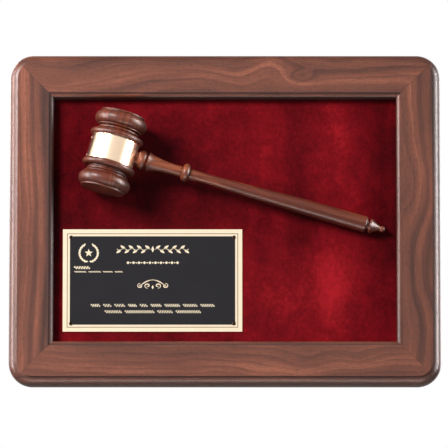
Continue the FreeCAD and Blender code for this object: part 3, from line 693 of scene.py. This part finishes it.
def strokes(marks, left, right, z, tall, pitch, width, words, seed):
    """Word-long runs of an even pen wave, to stand for a line of writing without being any."""
    chance = random.Random(seed)
    gap = 1.5 * pitch
    shares = [chance.uniform(0.6, 1.4) for _ in range(words)]
    inked = right - left - gap * (words - 1)
    here = left
    for share in shares:
        length = inked * share / sum(shares)
        steps = max(1, round(length / pitch)) * WAVE_STEPS
        spine, widths = [], []
        for index in range(steps + 1):
            phase = 2 * math.pi * index / WAVE_STEPS
            spine.append((here + length * index / steps, z + math.sin(phase) * tall / 2))
            widths.append(width * (0.8 + 0.35 * math.cos(phase)))
        marks.ribbon(spine, widths)
        here += length + gap


def garland(marks, left, right, z, leaf, pitch):
    """A waving stem with a leaf at every crest, turning outward from a lozenge in the middle."""
    middle = (left + right) / 2
    root, sway, stem_width = 2.4, 0.9, 0.7
    reach = (right - left) / 2 - leaf * 0.45
    for side in (-1, 1):
        stem = []
        for index in range(61):
            share = index / 60
            x = middle + side * (root + (reach - root) * share)
            stem.append((x, z + sway * math.sin(share * reach * math.pi / pitch)))
        marks.ribbon(stem, tapering(len(stem), stem_width, 0.7))
        outward = 0 if side > 0 else math.pi
        for index in range(int(reach / pitch)):
            up = 1 if index % 2 == 0 else -1
            x = middle + side * (root + (index + 0.75) * pitch * (reach - root) / reach)
            marks.leaf(x, z + up * leaf * 0.42, outward + side * up * 0.62, leaf, leaf * 0.46)
    marks.lozenge(middle, z, 1.5, 3.4)


def bead_row(marks, middle, z, count, pitch):
    """Small lozenges in a row, large and small by turns."""
    for index in range(count):
        size = 1.6 if index % 2 == 0 else 0.85
        marks.lozenge(middle + (index - count // 2) * pitch, z, size, size)


def writing(material):
    """A garland, a row of beads and rows of pen waves where a plate carries its wording."""
    marks = Marks()
    garland(marks, -38.2, 38.6, 31.6, 5.4, 4.4)
    bead_row(marks, 0.2, 17.9, 19, 2.75)
    for row in PEN_ROWS:
        strokes(marks, *row)
    marks.done("engraved_rows", material)


def scroll(material):
    """Two mirrored curls under a low arch, with a lozenge between them."""
    marks = Marks()
    middle, z = 0.2, -4.6
    half_span, rise = 13.4, 5.4
    curls = ((12.6, QUARTER, -1, 3.0), (5.2, -QUARTER, 1, 3.2))  # place, first angle, hand and outer radius
    for side in (-1, 1):
        arch = []
        for index in range(24):
            share = index / 23
            up = rise * math.cos(share * math.pi * 0.55) - 0.4
            arch.append((middle + side * half_span * share, z + up))
        marks.ribbon(arch, tapering(len(arch), 1.1, 0.5))
        for across, start, hand, outer in curls:
            curl = spiral(start, 1.15, outer, 0.7, hand)
            placed = [(middle + side * (across + x), z - 0.9 + 0.8 * y) for x, y in curl]
            marks.ribbon(placed, tapering(len(placed), 1.15, 0.45))
    marks.lozenge(middle, z - 2.4, 1.1, 2.2)
    marks.done("engraved_scroll", material)


def border_line():
    """The dark paint in the fine line engraved round the plate's border."""
    low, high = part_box("name_plate")
    inset, width, slack = 4.1 * MM, 0.7 * MM, 0.02 * MM
    front, back = low.y + 0.05 * MM, low.y + 0.3 * MM
    outer, inner = inset + slack, inset + width - slack
    work = bmesh.new()
    rings = []
    for y, gap in ((front, outer), (front, inner), (back, inner), (back, outer)):
        left, right, bottom, top = low.x + gap, high.x - gap, low.z + gap, high.z - gap
        corners = ((left, bottom), (right, bottom), (right, top), (left, top))
        rings.append([work.verts.new((x, y, z)) for x, z in corners])
    for first, second in zip(rings, rings[1:] + rings[:1]):
        for index in range(4):
            following = (index + 1) % 4
            work.faces.new((first[index], first[following], second[following], second[index]))
    graph = Graph("line_paint")
    tone = graph.noise(graph.place(), 0.6, 2.0)
    colour = graph.mix(tone, rgb(92, 58, 44), rgb(128, 88, 68))
    made = mesh_object("border_line", work, graph.finish(Base_Color=colour, Roughness=0.5), smooth=False)
    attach(made, BODY)


# ---------------------------------------------------------------------------------------------
# Studio
# ---------------------------------------------------------------------------------------------
FLOOR_DROP = 1.65
CAMERA_AWAY = 8.0
CAMERA_RISE = math.radians(-11)
VIEW_WIDTH = 0.448
# What the picture is centred on, from the middle of the frame's face.
VIEW_CENTRE = Vector((-0.001, 0, -0.00565))


def studio_floor():
    """A wide pale floor well below the plaque: polished surfaces mirror it, but it lights no matt ones."""
    work = bmesh.new()
    width, depth = 12.0, 0.02
    bmesh.ops.create_cube(work, size=1.0)
    bmesh.ops.scale(work, vec=(width, width, depth), verts=work.verts)
    bmesh.ops.translate(work, vec=(0, 0, -FLOOR_DROP - depth / 2), verts=work.verts)
    graph = Graph("pale_floor")
    tone = graph.noise(graph.place(), 0.004, 3.0)
    colour = graph.mix(tone, rgb(232, 231, 228), rgb(240, 239, 237))
    material = graph.finish(Base_Color=colour, Roughness=0.7)
    floor = mesh_object("floor", work, material, smooth=False)
    floor.visible_diffuse = False


# Each lamp's bearing (azimuth, elevation, distance), its width and height, its power, and whether it lights
# matt surfaces too or is only mirrored in polished ones.
LAMPS = {
    "key_left": ((-43, 22, 2.4), (0.8, 0.8), 73, True),
    "key_right": ((66, 12, 2.4), (0.9, 1.2), 11, True),
    "strip_left": ((-82, 8, 2.0), (0.5, 1.8), 64, False),
    "strip_right": ((80, 8, 2.0), (0.7, 1.8), 92, False),
    "top": ((-8, 60, 2.4), (2.2, 1.1), 4, True),
    "low_front": ((-30, -16, 2.4), (1.2, 0.5), 6, True),
    "low_card": ((0, -64, 1.7), (1.8, 0.3), 14, False),
    "back_left": ((-140, 25, 2.4), (1.2, 1.2), 34, True),
    "back_right": ((140, 12, 2.4), (1.2, 1.2), 20, True),
}
AMBIENT = 0.03
# What polished surfaces mirror of the room, from straight below (0) to straight above (1).
ROOM_LEVELS = ((0.0, 0.35), (0.42, 0.25), (0.53, 0.95), (0.68, 0.95), (0.9, 0.3))


def bearing(azimuth, elevation, distance):
    """A place round the plaque: azimuth 0 is straight in front, positive to the right, both in degrees."""
    turn, rise = math.radians(azimuth), math.radians(elevation)
    return (
        distance * math.sin(turn) * math.cos(rise),
        -distance * math.cos(turn) * math.cos(rise),
        distance * math.sin(rise),
    )


def softbox(name, place, size, power, diffuse):
    lamp = bpy.data.lights.new(name, "AREA")
    lamp.shape = "RECTANGLE"
    lamp.size, lamp.size_y = size
    lamp.energy = power
    made = bpy.data.objects.new(name, lamp)
    made.location = bearing(*place)
    made.rotation_euler = (-made.location).to_track_quat("-Z", "Y").to_euler()
    made.visible_camera = False
    made.visible_diffuse = diffuse
    bpy.context.scene.collection.objects.link(made)


def room():
    """White to the camera, faint to matt surfaces, and a soft gradient in polished ones."""
    world = bpy.data.worlds.new("studio")
    bpy.context.scene.world = world
    world.use_nodes = True
    tree = Tree(world.node_tree)
    way = tree.node("ShaderNodeTexCoord").outputs["Generated"]
    height = tree.math("MULTIPLY_ADD", tree.parts(way)[2], 0.5, 0.5)
    rays = tree.node("ShaderNodeLightPath").outputs
    level = tree.choose(rays["Is Camera Ray"], tree.ramp(height, *ROOM_LEVELS), 1.0)
    level = tree.choose(rays["Is Diffuse Ray"], level, AMBIENT)
    background = world.node_tree.nodes["Background"]
    background.inputs["Color"].default_value = (1, 1, 1, 1)
    tree.feed(background.inputs["Strength"], level)


def camera():
    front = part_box("frame_rail_top")[0].y
    lens = bpy.data.cameras.new("camera")
    lens.sensor_width = 36
    lens.lens = lens.sensor_width * CAMERA_AWAY / VIEW_WIDTH
    lens.clip_end = 50
    lens.dof.use_dof = False
    made = bpy.data.objects.new("camera", lens)
    bpy.context.scene.collection.objects.link(made)
    away = Vector((0, -math.cos(CAMERA_RISE), math.sin(CAMERA_RISE))) * CAMERA_AWAY
    made.location = VIEW_CENTRE + Vector((0, front, 0)) + away
    made.rotation_euler = (QUARTER - CAMERA_RISE, 0, 0)
    bpy.context.scene.camera = made


bpy.context.scene.view_settings.view_transform = "Standard"
camera()
studio_floor()
for name, lamp in LAMPS.items():
    softbox(name, *lamp)
room()
gold = dress_all()
velour_sheet()
emblem(gold)
writing(gold)
scroll(gold)
border_line()
